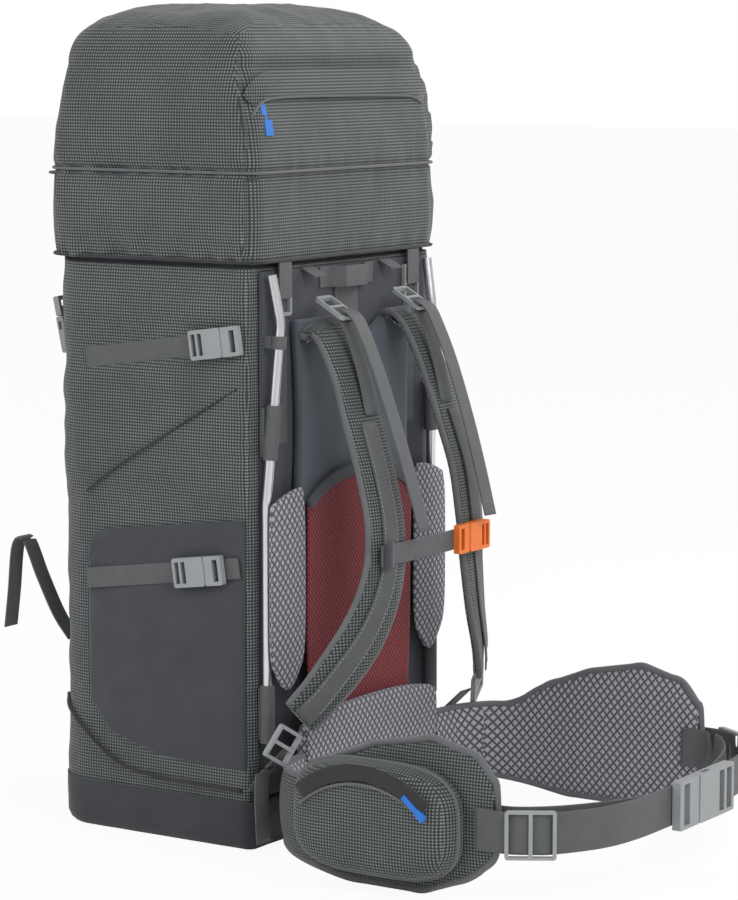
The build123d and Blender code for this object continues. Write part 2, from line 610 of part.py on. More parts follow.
# ---------------------------------------------------------------- build every node
def build():
    export("bag_shell", bag_shell())
    export("base_panel", base_panel())
    export("snow_collar", snow_collar())
    export("collar_drawcord", collar_drawcord())
    export("side_straps", *side_straps())
    export("back_mesh", back_mesh())
    export("mesh_hem", mesh_hem())
    export("height_strap", height_strap())
    export("haul_loop", haul_loop())
    export("front_tail", front_tail())

    for name, maker in (("side_pocket", side_pocket), ("frame_tube", frame_tube), ("side_pad", side_pad),
                        ("shoulder_pad", shoulder_pad), ("shoulder_webbing", shoulder_webbing),
                        ("lower_ladderlock", lower_ladderlock), ("lifter_ladderlock", lifter_ladderlock),
                        ("daisy_chain", daisy_chain), ("belt_wing", belt_wing), ("belt_pocket", belt_pocket),
                        ("pocket_zip_slider", pocket_zip_slider), ("belt_slider", belt_slider)):
        right = maker()
        export(f"{name}_right", right)
        export(f"{name}_left", mirrored(right))

    for name, maker in (("load_lifter", load_lifter), ("belt_webbing", belt_webbing), ("lower_strap", lower_strap)):
        right = maker()
        export(f"{name}_right", *right)
        export(f"{name}_left", *[mirrored(s) for s in right])

    for name, maker in (("frame_sleeves", frame_sleeves), ("lid_rear_straps", lid_rear_strap)):
        right = maker()
        export(name, *right, *[mirrored(s) for s in right])
    for name, maker in (("lid_rear_ladderlocks", lid_rear_ladderlock), ("lid_front_straps", lid_front_strap),
                        ("lifter_anchors", lifter_anchor)):
        right = maker()
        export(name, right, mirrored(right))

    sides = (("upper", UPPER_JOINT_Y, UPPER_JOINT_Z, BAG_HALF_WIDTH),
             ("lower", LOWER_JOINT_Y, LOWER_JOINT_Z, BAG_HALF_WIDTH + SEAT_GAP + POCKET_FABRIC))
    prongs = []
    for level, joint_y, joint_z, base_x in sides:
        plane = side_strap_plane(joint_y, joint_z, base_x)
        socket = plane * socket_half(WEB, BUCKLE_THICK)
        prong = plane * prong_half(WEB, BUCKLE_THICK)
        export(f"side_socket_{level}_right", socket)
        export(f"side_socket_{level}_left", mirrored(socket))
        prongs += [prong, mirrored(prong)]
    export("side_prongs", *prongs)

    plane = front_strap_plane()
    socket = plane * socket_half(WEB, BUCKLE_THICK)
    prong = plane * prong_half(WEB, BUCKLE_THICK)
    export("front_socket_right", socket)
    export("front_socket_left", mirrored(socket))
    export("lid_front_prongs", prong, mirrored(prong))

    export("lid_shell", lid_shell())
    export("lid_liner", lid_liner())
    export("lid_zip_flap", lid_zip_flap())
    export("lid_zip_slider", lid_zip_slider())

    export("yoke", yoke())
    export("sternum_socket", sternum_plane() * socket_half(WEB, BUCKLE_THICK))
    export("sternum_prongs", sternum_plane() * prong_half(WEB, BUCKLE_THICK))
    export("sternum_webbing", sternum_webbing())
    export("sternum_stub", sternum_stub())

    export("lumbar_pad", lumbar_pad(), lumbar_mount())
    export("belt_prongs", belt_plane() * prong_half(BELT_WEB, BELT_BUCKLE_THICK))
    export("belt_socket", belt_plane() * socket_half(BELT_WEB, BELT_BUCKLE_THICK))


build()
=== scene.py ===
"""Trekking backpack: the soft goods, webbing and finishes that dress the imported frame, with its studio."""

import logging
import math
from dataclasses import dataclass, field
from enum import Enum
from typing import Callable, Sequence

import bmesh
import bpy
import numpy as np
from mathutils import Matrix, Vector, noise


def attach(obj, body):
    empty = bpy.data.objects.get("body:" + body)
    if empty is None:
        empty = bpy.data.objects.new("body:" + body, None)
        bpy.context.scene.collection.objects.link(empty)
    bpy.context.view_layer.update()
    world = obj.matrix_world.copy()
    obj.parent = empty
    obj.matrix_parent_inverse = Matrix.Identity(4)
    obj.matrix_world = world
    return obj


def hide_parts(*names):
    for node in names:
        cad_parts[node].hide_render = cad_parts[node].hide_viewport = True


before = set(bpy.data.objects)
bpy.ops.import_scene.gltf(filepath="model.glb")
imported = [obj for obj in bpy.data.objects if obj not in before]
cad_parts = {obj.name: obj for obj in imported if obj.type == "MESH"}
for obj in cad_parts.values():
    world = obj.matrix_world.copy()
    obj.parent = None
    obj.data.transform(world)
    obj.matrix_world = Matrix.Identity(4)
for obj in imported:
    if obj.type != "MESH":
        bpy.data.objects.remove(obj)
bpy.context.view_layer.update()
log = logging.getLogger("backpack")

MM = 0.001
Colour = tuple[float, float, float]
Point = tuple[float, float, float]


class Side(Enum):
    """A side of the wearer, with the sign that takes right-hand coordinates to it."""

    RIGHT = 1.0
    LEFT = -1.0

    @property
    def word(self) -> str:
        """The side's name as the nodes spell it."""
        return self.name.lower()


# ---------------------------------------------------------------- finishes
class Graph:
    """A small helper that adds and links shader nodes."""

    def __init__(self, name: str) -> None:
        """Start a material with a Principled shader.

        Args:
            name: the material's name.
        """
        self.material = bpy.data.materials.new(name)
        self.material.use_nodes = True
        self.tree = self.material.node_tree
        self.shader = self.tree.nodes["Principled BSDF"]
        coords = self.tree.nodes.new("ShaderNodeTexCoord")
        self.place = coords.outputs["Object"]
        self.normal = coords.outputs["Normal"]

    def math(self, operation: str, a: object, b: object = 0.0) -> object:
        """Add a Math node.

        Args:
            operation: Blender's name for it.
            a: a socket or number.
            b: a socket or number.

        Returns:
            The result's socket.
        """
        node = self.tree.nodes.new("ShaderNodeMath")
        node.operation = operation
        for socket, value in zip(node.inputs, (a, b)):
            if isinstance(value, (int, float)):
                socket.default_value = value
            else:
                self.tree.links.new(value, socket)
        return node.outputs[0]

    def split(self, vector: object) -> list:
        """The three parts of a vector socket."""
        node = self.tree.nodes.new("ShaderNodeSeparateXYZ")
        self.tree.links.new(vector, node.inputs[0])
        return list(node.outputs)

    def choose(self, share: object, a: object, b: object) -> object:
        """A number that is a where share is 0 and b where it is 1."""
        node = self.tree.nodes.new("ShaderNodeMix")
        for socket, value in zip((node.inputs[0], node.inputs[2], node.inputs[3]), (share, a, b)):
            if isinstance(value, (int, float)):
                socket.default_value = value
            else:
                self.tree.links.new(value, socket)
        return node.outputs[0]

    def colour(self, share: object, a: Colour, b: Colour) -> object:
        """Mix two colours by a socket and return the colour socket."""
        node = self.tree.nodes.new("ShaderNodeMix")
        node.data_type = "RGBA"
        self.tree.links.new(share, node.inputs[0])
        node.inputs[6].default_value = (*a, 1)
        node.inputs[7].default_value = (*b, 1)
        return node.outputs[2]

    def cloud(self, scale: float, detail: float = 3.0) -> object:
        """A noise value over the object."""
        node = self.tree.nodes.new("ShaderNodeTexNoise")
        node.inputs["Scale"].default_value = scale
        node.inputs["Detail"].default_value = detail
        self.tree.links.new(self.place, node.inputs["Vector"])
        return node.outputs["Fac"]

    def flat_coords(self) -> tuple:
        """Two coordinates in the plane that the surface mostly faces."""
        x, y, z = self.split(self.place)
        nx, ny, nz = self.split(self.normal)
        sideways = self.math("GREATER_THAN", self.math("ABSOLUTE", nx), self.math("ABSOLUTE", ny))
        upward = self.math("GREATER_THAN", self.math("ABSOLUTE", nz), 0.8)
        u = self.choose(self.math("MULTIPLY", sideways, self.math("SUBTRACT", 1.0, upward)), x, y)
        return u, self.choose(upward, z, y)

    def wave(self, value: object, pitch_mm: float) -> object:
        """A sine of the value, from 0 to 1, that repeats every pitch."""
        turn = self.math("SINE", self.math("MULTIPLY", value, 2 * math.pi / (pitch_mm * MM)))
        return self.math("MULTIPLY", self.math("ADD", turn, 1.0), 0.5)

    def bump(self, height: object, strength: float, distance_mm: float) -> None:
        """Raise the shader's normal by a height socket."""
        node = self.tree.nodes.new("ShaderNodeBump")
        node.inputs["Strength"].default_value = strength
        node.inputs["Distance"].default_value = distance_mm * MM
        self.tree.links.new(height, node.inputs["Height"])
        self.tree.links.new(node.outputs["Normal"], self.shader.inputs["Normal"])

    def set(self, **values: float) -> None:
        """Set constants on the shader's own sockets."""
        for name, value in values.items():
            self.shader.inputs[name.replace("_", " ")].default_value = value


@dataclass(frozen=True)
class GridCloth:
    """Ripstop cloth: a small light check on a dark ground."""

    name: str
    dark: Colour
    light: Colour
    pitch_mm: float = 3.2

    def build(self) -> bpy.types.Material:
        """Make the material."""
        g = Graph(self.name)
        u, v = g.flat_coords()
        check = g.math("MULTIPLY", g.wave(u, self.pitch_mm), g.wave(v, self.pitch_mm))
        sharp = g.math("POWER", check, 1.25)
        share = g.math("MULTIPLY", sharp, g.math("ADD", g.math("MULTIPLY", g.cloud(22.0), 0.6), 0.5))
        g.tree.links.new(g.colour(share, self.dark, self.light), g.shader.inputs["Base Color"])
        g.set(Roughness=0.72, Sheen_Weight=0.15)
        g.bump(g.math("ADD", check, g.math("MULTIPLY", g.cloud(55.0), 2.5)), 0.5, 0.5)
        return g.material


@dataclass(frozen=True)
class PlainCloth:
    """Plain woven or stretch cloth with a fine thread."""

    name: str
    dark: Colour
    light: Colour
    thread_mm: float = 1.1
    crease: float = 2.0

    def build(self) -> bpy.types.Material:
        """Make the material."""
        g = Graph(self.name)
        u, v = g.flat_coords()
        thread = g.math("MULTIPLY", g.wave(u, self.thread_mm), g.wave(v, self.thread_mm))
        share = g.math("ADD", g.math("MULTIPLY", thread, 0.3), g.math("MULTIPLY", g.cloud(30.0), 0.6))
        g.tree.links.new(g.colour(share, self.dark, self.light), g.shader.inputs["Base Color"])
        g.set(Roughness=0.85, Sheen_Weight=0.2)
        g.bump(g.math("ADD", thread, g.math("MULTIPLY", g.cloud(60.0), self.crease)), 0.45, 0.4)
        return g.material


@dataclass(frozen=True)
class DiamondMesh:
    """Open spacer mesh of diamond cells."""

    name: str
    line: Colour
    cell: Colour
    pitch_mm: float
    sharp: float = 0.55

    def build(self) -> bpy.types.Material:
        """Make the material."""
        g = Graph(self.name)
        u, v = g.flat_coords()
        across = g.math("MULTIPLY", u, 1.15)
        a = g.wave(g.math("ADD", across, v), self.pitch_mm)
        b = g.wave(g.math("SUBTRACT", across, v), self.pitch_mm)
        low = g.math("MINIMUM", a, b)
        share = g.math("POWER", g.math("MINIMUM", g.math("DIVIDE", low, self.sharp), 1.0), 0.8)
        g.tree.links.new(g.colour(share, self.line, self.cell), g.shader.inputs["Base Color"])
        g.set(Roughness=0.8, Sheen_Weight=0.1)
        g.bump(share, 0.8, 0.9)
        return g.material


@dataclass(frozen=True)
class Webbing:
    """Woven strap, as a crossed weave with a cloudy colour, in Object coordinates."""

    name: str
    dark: Colour
    light: Colour

    def build(self) -> bpy.types.Material:
        """Make the material."""
        g = Graph(self.name)
        u, v = g.flat_coords()
        weave = g.math("MULTIPLY", g.wave(g.math("ADD", u, v), 1.9), g.wave(g.math("SUBTRACT", u, v), 1.9))
        share = g.math("ADD", g.math("MULTIPLY", weave, 0.7), g.math("MULTIPLY", g.cloud(90.0), 0.35))
        g.tree.links.new(g.colour(share, self.dark, self.light), g.shader.inputs["Base Color"])
        g.set(Roughness=0.65, Sheen_Weight=0.1)
        g.bump(weave, 0.5, 0.35)
        return g.material


@dataclass(frozen=True)
class Moulded:
    """Moulded plastic or drawn metal with a faint grain."""

    name: str
    base: Colour
    roughness: float
    metallic: float = 0.0
    grain: float = 900.0

    def build(self) -> bpy.types.Material:
        """Make the material."""
        g = Graph(self.name)
        darker = tuple(c * 0.82 for c in self.base)
        g.tree.links.new(g.colour(g.cloud(60.0), darker, self.base), g.shader.inputs["Base Color"])
        g.set(Roughness=self.roughness, Metallic=self.metallic)
        g.bump(g.cloud(self.grain), 0.12, 0.1)
        return g.material


class Finish(Enum):
    """Every finish on the pack."""

    GRID = GridCloth("grid_cloth", (0.014, 0.017, 0.019), (0.30, 0.335, 0.315), 3.0)
    DARK = PlainCloth("stretch_cloth", (0.026, 0.029, 0.037), (0.055, 0.060, 0.075))
    BASE = PlainCloth("base_cloth", (0.020, 0.022, 0.027), (0.045, 0.048, 0.055), 2.0)
    YOKE = PlainCloth("yoke_cloth", (0.045, 0.055, 0.072), (0.085, 0.10, 0.125))
    BINDING = PlainCloth("edge_binding", (0.085, 0.088, 0.094), (0.16, 0.165, 0.175), 1.4)
    ZIP = PlainCloth("zip_tape", (0.012, 0.012, 0.014), (0.03, 0.03, 0.034), 1.6, 0.5)
    WEB = Webbing("woven_strap", (0.05, 0.053, 0.056), (0.135, 0.142, 0.146))
    RED = DiamondMesh("red_diamond_mesh", (0.008, 0.004, 0.005), (0.34, 0.010, 0.018), 6.0)
    GREY = DiamondMesh("honeycomb_mesh", (0.04, 0.04, 0.048), (0.36, 0.36, 0.41), 9.5)
    PLASTIC = Moulded("grey_nylon", (0.30, 0.312, 0.322), 0.40)
    ORANGE = Moulded("orange_nylon", (0.86, 0.19, 0.02), 0.40)
    BLUE = Moulded("blue_tab", (0.015, 0.17, 0.62), 0.55)
    METAL = Moulded("drawn_aluminium", (0.74, 0.75, 0.77), 0.28, 1.0, 400.0)
    THREAD = PlainCloth("thread", (0.20, 0.205, 0.21), (0.32, 0.33, 0.335), 0.8, 0.2)

    @property
    def material(self) -> bpy.types.Material:
        """The finish's material, made once."""
        return bpy.data.materials.get(self.value.name) or self.value.build()


# ---------------------------------------------------------------- mesh building
def new_piece(name: str, points: np.ndarray, faces: Sequence, finish: Finish, body: str,
              nodes: Sequence[str] = (), wall_mm: float = 0.0) -> bpy.types.Object:
    """Make a mesh piece that rides on a body.

    Args:
        name: the piece's name.
        points: its vertices in millimetres.
        faces: its faces.
        finish: its finish.
        body: the body that it rides on.
        nodes: the CAD nodes that it stands for.
        wall_mm: a thickness added inwards, or 0 for a closed form.

    Returns:
        The new object.
    """
    data = bpy.data.meshes.new(name)
    data.from_pydata((np.asarray(points) * MM).tolist(), [], [list(f) for f in faces])
    work = bmesh.new()
    work.from_mesh(data)
    bmesh.ops.remove_doubles(work, verts=work.verts, dist=1e-6)
    bmesh.ops.recalc_face_normals(work, faces=work.faces)
    for face in work.faces:
        face.smooth = True
    work.to_mesh(data)
    work.free()
    piece = bpy.data.objects.new(name, data)
    bpy.context.collection.objects.link(piece)
    data.materials.append(finish.material)
    if wall_mm:
        solid = piece.modifiers.new("wall", "SOLIDIFY")
        solid.thickness, solid.offset = wall_mm * MM, -1.0
    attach(piece, body)
    if nodes:
        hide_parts(*nodes)
    log.info("piece %s on %s", name, body)
    return piece


def rings_to_faces(rows: int, columns: int, closed: bool = True) -> list:
    """Quads between rows of points.

    Args:
        rows: the number of rows.
        columns: the points in each row.
        closed: whether a row runs round to its start.

    Returns:
        The faces as index tuples.
    """
    wrap = columns if closed else columns - 1
    return [(r * columns + c, r * columns + (c + 1) % columns, (r + 1) * columns + (c + 1) % columns,
             (r + 1) * columns + c) for r in range(rows - 1) for c in range(wrap)]


def smooth_line(points: Sequence[Point], step_mm: float = 5.0) -> np.ndarray:
    """A smooth line through points, at even steps (Catmull-Rom).

    Args:
        points: the control points in millimetres.
        step_mm: the distance between the points returned.

    Returns:
        The line's points.
    """
    p = np.asarray(points, dtype=float)
    ends = np.vstack([2 * p[0] - p[1], p, 2 * p[-1] - p[-2]])
    dense = []
    for i in range(len(p) - 1):
        a, b, c, d = ends[i:i + 4]
        for t in np.linspace(0, 1, 16, endpoint=False):
            dense.append(0.5 * (2 * b + (c - a) * t + (2 * a - 5 * b + 4 * c - d) * t * t
                                + (3 * b - a - 3 * c + d) * t ** 3))
    dense = np.array(dense + [p[-1]])
    run = np.r_[0, np.cumsum(np.linalg.norm(np.diff(dense, axis=0), axis=1))]
    even = np.linspace(0, run[-1], max(int(run[-1] / step_mm), 2) + 1)
    return np.column_stack([np.interp(even, run, dense[:, k]) for k in range(3)])


def sweep(line: np.ndarray, out: Point, width: Callable[[float], float], thick: Callable[[float], float],
          power: float = 2.6, count: int = 22) -> tuple:
    """Sweep a rounded section along a line.

    Args:
        line: the line's points.
        out: the direction that the section's thickness faces.
        width: the section's width at a share of the line.
        thick: its thickness at a share of the line.
        power: 2 for an ellipse, more for a squarer section.
        count: the points round the section.

    Returns:
        The vertices and the faces.
    """
    tangents = np.gradient(line, axis=0)
    tangents /= np.linalg.norm(tangents, axis=1)[:, None]
    points = []
    for i, (place, along) in enumerate(zip(line, tangents)):
        across = np.cross(along, np.asarray(out, dtype=float))
        across /= np.linalg.norm(across)
        face = np.cross(across, along)
        share = i / (len(line) - 1)
        for k in range(count):
            angle = 2 * math.pi * k / count
            c, s = math.cos(angle), math.sin(angle)
            u = math.copysign(abs(c) ** (2 / power), c) * width(share) / 2
            w = math.copysign(abs(s) ** (2 / power), s) * thick(share) / 2
            points.append(place + across * u + face * w)
    faces = rings_to_faces(len(line), count)
    faces += [tuple(range(count))[::-1], tuple(range((len(line) - 1) * count, len(line) * count))]
    return np.array(points), faces


def strap(name: str, points: Sequence[Point], out: Point, width_mm: float, body: str,
          nodes: Sequence[str] = (), thick_mm: float = 1.8, finish: Finish = Finish.WEB) -> bpy.types.Object:
    """A length of flat webbing.

    Args:
        name: the piece's name.
        points: the points that it follows.
        out: the way that its face looks.
        width_mm: its width.
        body: the body that it rides on.
        nodes: the CAD nodes that it stands for.
        thick_mm: its thickness.
        finish: its finish.

    Returns:
        The new object.
    """
    shape = sweep(smooth_line(points, 4), out, lambda s: width_mm, lambda s: thick_mm, 7.0, 16)
    return new_piece(name, *shape, finish, body, nodes)


def piping(name: str, points: Sequence[Point], radius_mm: float, body: str,
           finish: Finish = Finish.BINDING, out: Point = (0.31, 0.22, 0.93)) -> bpy.types.Object:
    """A round bound edge or cord along a line."""
    shape = sweep(smooth_line(points, 4), out, lambda s: 2 * radius_mm, lambda s: 2 * radius_mm, 2.0, 10)
    return new_piece(name, *shape, finish, body)


def flip(points: Sequence[Point], side: Side) -> list:
    """Right-hand points, taken to a side."""
    return [(p[0] * side.value, p[1], p[2]) for p in points]


def ripple(x: float, y: float, z: float, size_mm: float, seed: float = 0.0) -> float:
    """Smooth noise from -1 to 1 with features of a size."""
    return noise.noise(Vector((x / size_mm + seed, y / size_mm, z / size_mm)))


def plan_ring(half_width: float, back: float, front: float, back_r: float, front_r: float, count: int) -> np.ndarray:
    """A rounded rectangle as rows of x, y and its outward normal.

    Args:
        half_width: half its width.
        back: its back edge in Y.
        front: its front edge in Y.
        back_r: the radius of the back corners.
        front_r: the radius of the front corners.
        count: the number of points.

    Returns:
        An array of x, y, nx, ny.
    """
    corners = [(half_width - front_r, front - front_r, front_r, 0),
               (-half_width + front_r, front - front_r, front_r, 90),
               (-half_width + back_r, back + back_r, back_r, 180), (half_width - back_r, back + back_r, back_r, 270)]
    dense = []
    for cx, cy, r, start in corners:
        for a in np.radians(np.linspace(start, start + 90, 12)):
            dense.append((cx + r * math.cos(a), cy + r * math.sin(a)))
    dense = np.array(dense + dense[:1])
    run = np.r_[0, np.cumsum(np.linalg.norm(np.diff(dense, axis=0), axis=1))]
    even = np.linspace(0, run[-1], count, endpoint=False)
    xy = np.column_stack([np.interp(even, run, dense[:, k]) for k in range(2)])
    tangent = np.roll(xy, -1, axis=0) - np.roll(xy, 1, axis=0)
    tangent /= np.linalg.norm(tangent, axis=1)[:, None]
    return np.column_stack([xy, tangent[:, 1], -tangent[:, 0]])


class Stitching:
    """Rows of stitches, laid along a line by Geometry Nodes."""

    def __init__(self) -> None:
        """Build the node tree once."""
        tree = bpy.data.node_groups.new("stitch_row", "GeometryNodeTree")
        tree.interface.new_socket("Line", in_out="INPUT", socket_type="NodeSocketGeometry")
        for label, value in (("Pitch", 0.0042), ("Thread", 0.00042), ("Length", 0.0027)):
            socket = tree.interface.new_socket(label, in_out="INPUT", socket_type="NodeSocketFloat")
            socket.default_value = value
        tree.interface.new_socket("Stitches", in_out="OUTPUT", socket_type="NodeSocketGeometry")
        make, link = tree.nodes.new, tree.links.new
        source, sink = make("NodeGroupInput"), make("NodeGroupOutput")
        to_curve, spaced = make("GeometryNodeMeshToCurve"), make("GeometryNodeResampleCurve")
        spaced.mode = "LENGTH"
        thread, put, turn = make("GeometryNodeMeshCylinder"), make("GeometryNodeInstanceOnPoints"), make(
            "FunctionNodeAlignRotationToVector")
        thread.inputs["Vertices"].default_value = 6
        turn.axis = "Z"
        tangent, real, dress = make("GeometryNodeInputTangent"), make("GeometryNodeRealizeInstances"), make(
            "GeometryNodeSetMaterial")
        dress.inputs["Material"].default_value = Finish.THREAD.material
        link(source.outputs["Line"], to_curve.inputs[0])
        link(to_curve.outputs[0], spaced.inputs["Curve"])
        link(source.outputs["Pitch"], spaced.inputs["Length"])
        link(source.outputs["Thread"], thread.inputs["Radius"])
        link(source.outputs["Length"], thread.inputs["Depth"])
        link(tangent.outputs[0], turn.inputs["Vector"])
        link(spaced.outputs[0], put.inputs["Points"])
        link(thread.outputs["Mesh"], put.inputs["Instance"])
        link(turn.outputs[0], put.inputs["Rotation"])
        link(put.outputs[0], real.inputs[0])
        link(real.outputs[0], dress.inputs[0])
        link(dress.outputs[0], sink.inputs[0])
        self.tree = tree

    def rows(self, name: str, lines: Sequence[np.ndarray], body: str) -> bpy.types.Object:
        """Sew rows of stitches.

        Args:
            name: the piece's name.
            lines: each row's points in millimetres.
            body: the body that they ride on.

        Returns:
            The stitches as one mesh.
        """
        points, edges = [], []
        for line in lines:
            start = len(points)
            points += (np.asarray(line) * MM).tolist()
            edges += [(start + i, start + i + 1) for i in range(len(line) - 1)]
        data = bpy.data.meshes.new(name + "_line")
        data.from_pydata(points, edges, [])
        guide = bpy.data.objects.new(name + "_line", data)
        bpy.context.collection.objects.link(guide)
        modifier = guide.modifiers.new("stitches", "NODES")
        modifier.node_group = self.tree
        sewn = guide.evaluated_get(bpy.context.evaluated_depsgraph_get())
        mesh = bpy.data.meshes.new_from_object(sewn)
        bpy.data.objects.remove(guide)
        piece = bpy.data.objects.new(name, mesh)
        bpy.context.collection.objects.link(piece)
        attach(piece, body)
        return piece


# ---------------------------------------------------------------- the bag
@dataclass
class Bag:
    """The main bag, its base, collar, pockets and sewn webbing."""

    half_width: float = 160.0
    back: float = -125.0
    front: float = 118.0
    top: float = 552.0
    base_top: float = 46.0
    upper_strap_z: float = 470.0
    lower_strap_z: float = 256.0
    columns: int = 300
    seam_path: list = field(default_factory=lambda: [(-162, -114, 57), (-163, -60, 58), (-163, -10, 60), (-164, 30, 68),
                                                     (-164, 66, 92), (-154, 96, 112), (-128, 118, 120)])

    def fullness(self, x: float, y: float, nx: float, ny: float, z: float) -> float:
        """How far the filled cloth stands off the bag's plain shape."""
        puff = 0.0
        if abs(nx) > 0.5:
            near_strap = math.exp(-((z - self.upper_strap_z + 0.14 * y) / 16) ** 2)
            above_pocket = min(max((z - 316) / 40, 0), 1) * min(max((self.top - z) / 30, 0), 1)
            puff = 6.0 * above_pocket * (1 - near_strap) * max(math.cos(math.pi * (y + 4) / 250), 0) ** 0.5
            puff += above_pocket * (1 - near_strap) * 2.4 * ripple(y * 0.5, 0, z * 1.3, 26)
            puff += 2.0 * max(0, 1 - abs(z - 62) / 30)
        if ny > 0.3:
            puff += 7.0 * math.cos(math.pi * min(abs(x) / 100, 1) / 2) * math.sin(math.pi * z / self.top) ** 0.5
            puff += 1.6 * ripple(x, 0, z, 34, 5.0)
        if ny < -0.6:
            puff -= 1.0
        return puff + 0.7 * ripple(x, y, z, 15, 9.0) - 0.5

    def build_shell(self) -> None:
        """Loft the bag and its base."""
        ring = plan_ring(self.half_width, self.back, self.front, 12, 50, self.columns)
        heights = np.linspace(3.2, self.top, 150)
        points = [(x + nx * f, y + ny * f, z) for z in heights for x, y, nx, ny in ring
                  for f in (self.fullness(x, y, nx, ny, z),)]
        floor = len(points)
        points.append((0.0, 0.0, 3.2))
        faces = rings_to_faces(len(heights), self.columns)
        faces += [(floor, (c + 1) % self.columns, c) for c in range(self.columns)]
        new_piece("bag_cloth", np.array(points), faces, Finish.GRID, "pack", ["bag_shell"], 2.5)

        ring = plan_ring(self.half_width + 2.7, self.back - 2.7, self.front + 2.7, 14, 52, self.columns)
        points = []
        for z in (0.0, 0.6, 3.0, 9.0, 20.0, 34.0, 43.0, self.base_top):
            inset = 6 * (1 - min(z / 9.0, 1)) ** 2
            points += [(x + nx * (0.9 * ripple(x, y, z, 24) - inset), y + ny * (0.9 * ripple(x, y, z, 24) - inset), z)
                       for x, y, nx, ny in ring]
        centre = len(points)
        points.append((0.0, 0.0, 0.0))
        faces = rings_to_faces(8, self.columns) + [(centre, (c + 1) % self.columns, c) for c in range(self.columns)]
        new_piece("base_cloth", np.array(points), faces, Finish.BASE, "pack", ["base_panel"], 2.0)

    def build_collar(self) -> None:
        """Loft the gathered collar under the lid."""
        ring = plan_ring(156.0, -121.0, 114.0, 9, 47, self.columns)
        heights = np.linspace(532, 622, 24)
        points = []
        for z in heights:
            for i, (x, y, nx, ny) in enumerate(ring):
                gather = 1.2 * math.sin(i * 0.63) * (z - 532) / 90 - 1.0
                points.append((x + nx * gather, y + ny * gather, z))
        new_piece("collar_cloth", np.array(points), rings_to_faces(24, self.columns), Finish.DARK, "pack",
                  ["snow_collar"], 1.5)

    def build_pocket(self, side: Side) -> None:
        """Make a stretch pocket, pinched where the lower strap crosses it."""
        rows, columns = 90, 70
        points = []
        for r in range(rows):
            t = r / (rows - 1)
            for c in range(columns):
                s = c / (columns - 1)
                low = np.interp(s, (0, 0.55, 0.87, 1), (77, 80, 97, 128))
                high = np.interp(s, (0, 0.87, 0.96, 1), (316, 296, 288, 272))
                z, y = low + (high - low) * t, -118 + 184 * s
                full = (math.sin(math.pi * s) * math.sin(math.pi * min(t * 1.02, 1))) ** 0.55
                pinch = 1 - math.exp(-((z - self.lower_strap_z + 0.14 * (y + 20)) / 15) ** 2)
                fold = 1.5 * ripple(y * 0.7, 0, z * 1.2 + y * 0.5, 22, 3.0)
                stand = 161.0 + pinch * full * (8.0 + fold) + 0.8 * full
                if t > 0.94:
                    stand += 0.8
                points.append((-stand * side.value, y, z))
        new_piece(f"pocket_cloth_{side.word}", np.array(points), rings_to_faces(rows, columns, False), Finish.DARK,
                  "pack", [f"side_pocket_{side.word}"], 1.4)

    def build_webbing(self) -> None:
        """Side, front and back webbing, and the spare tail."""
        upper = [(-161.0, 66, 460), (-161.0, 0, 469.2), (-161.0, -60, 477.7), (-161.0, -116, 485.6)]
        lower = [(-163.7, 66, 245.6), (-163.7, 0, 254.9), (-163.7, -60, 263.3), (-163.7, -114, 271)]
        for side in Side:
            out = (-side.value, 0, 0)
            strap(f"side_web_upper_{side.word}", flip(upper, side), out, 20, "pack",
                  ["side_straps"] if side is Side.RIGHT else [])
            strap(f"side_web_lower_{side.word}", flip(lower, side), out, 20, "pack")
            daisy = [(-97, 120.4, z) for z in (50, 120, 200, 300, 400, 482)]
            strap(f"front_web_{side.word}", flip(daisy, side), (0, 1, 0), 20, "pack", [f"daisy_chain_{side.word}"])
            piping(f"zip_seam_{side.word}", flip(self.seam_path, side), 2.0, "pack", Finish.ZIP)
        for side in Side:
            panel = [(-161.5, -112, 440), (-165.5, -70, 415), (-167.8, -20, 385), (-167.5, 30, 355), (-164.5, 66, 330)]
            piping(f"side_seam_{side.word}", flip(panel, side), 1.2, "pack", Finish.ZIP)
        tail = [(-117, 119.4, 174), (-117, 138, 196), (-117, 158, 232), (-117, 176, 268), (-117, 189, 262),
                (-117, 195, 215), (-117, 200, 178)]
        strap("front_spare_web", tail, (0, 0.7, 0.7), 20, "pack", ["front_tail"])
        strap("height_web", [(0, -126, 265), (0, -126.4, 400), (0, -126, 535)], (0, -1, 0), 40, "pack",
              ["height_strap"])


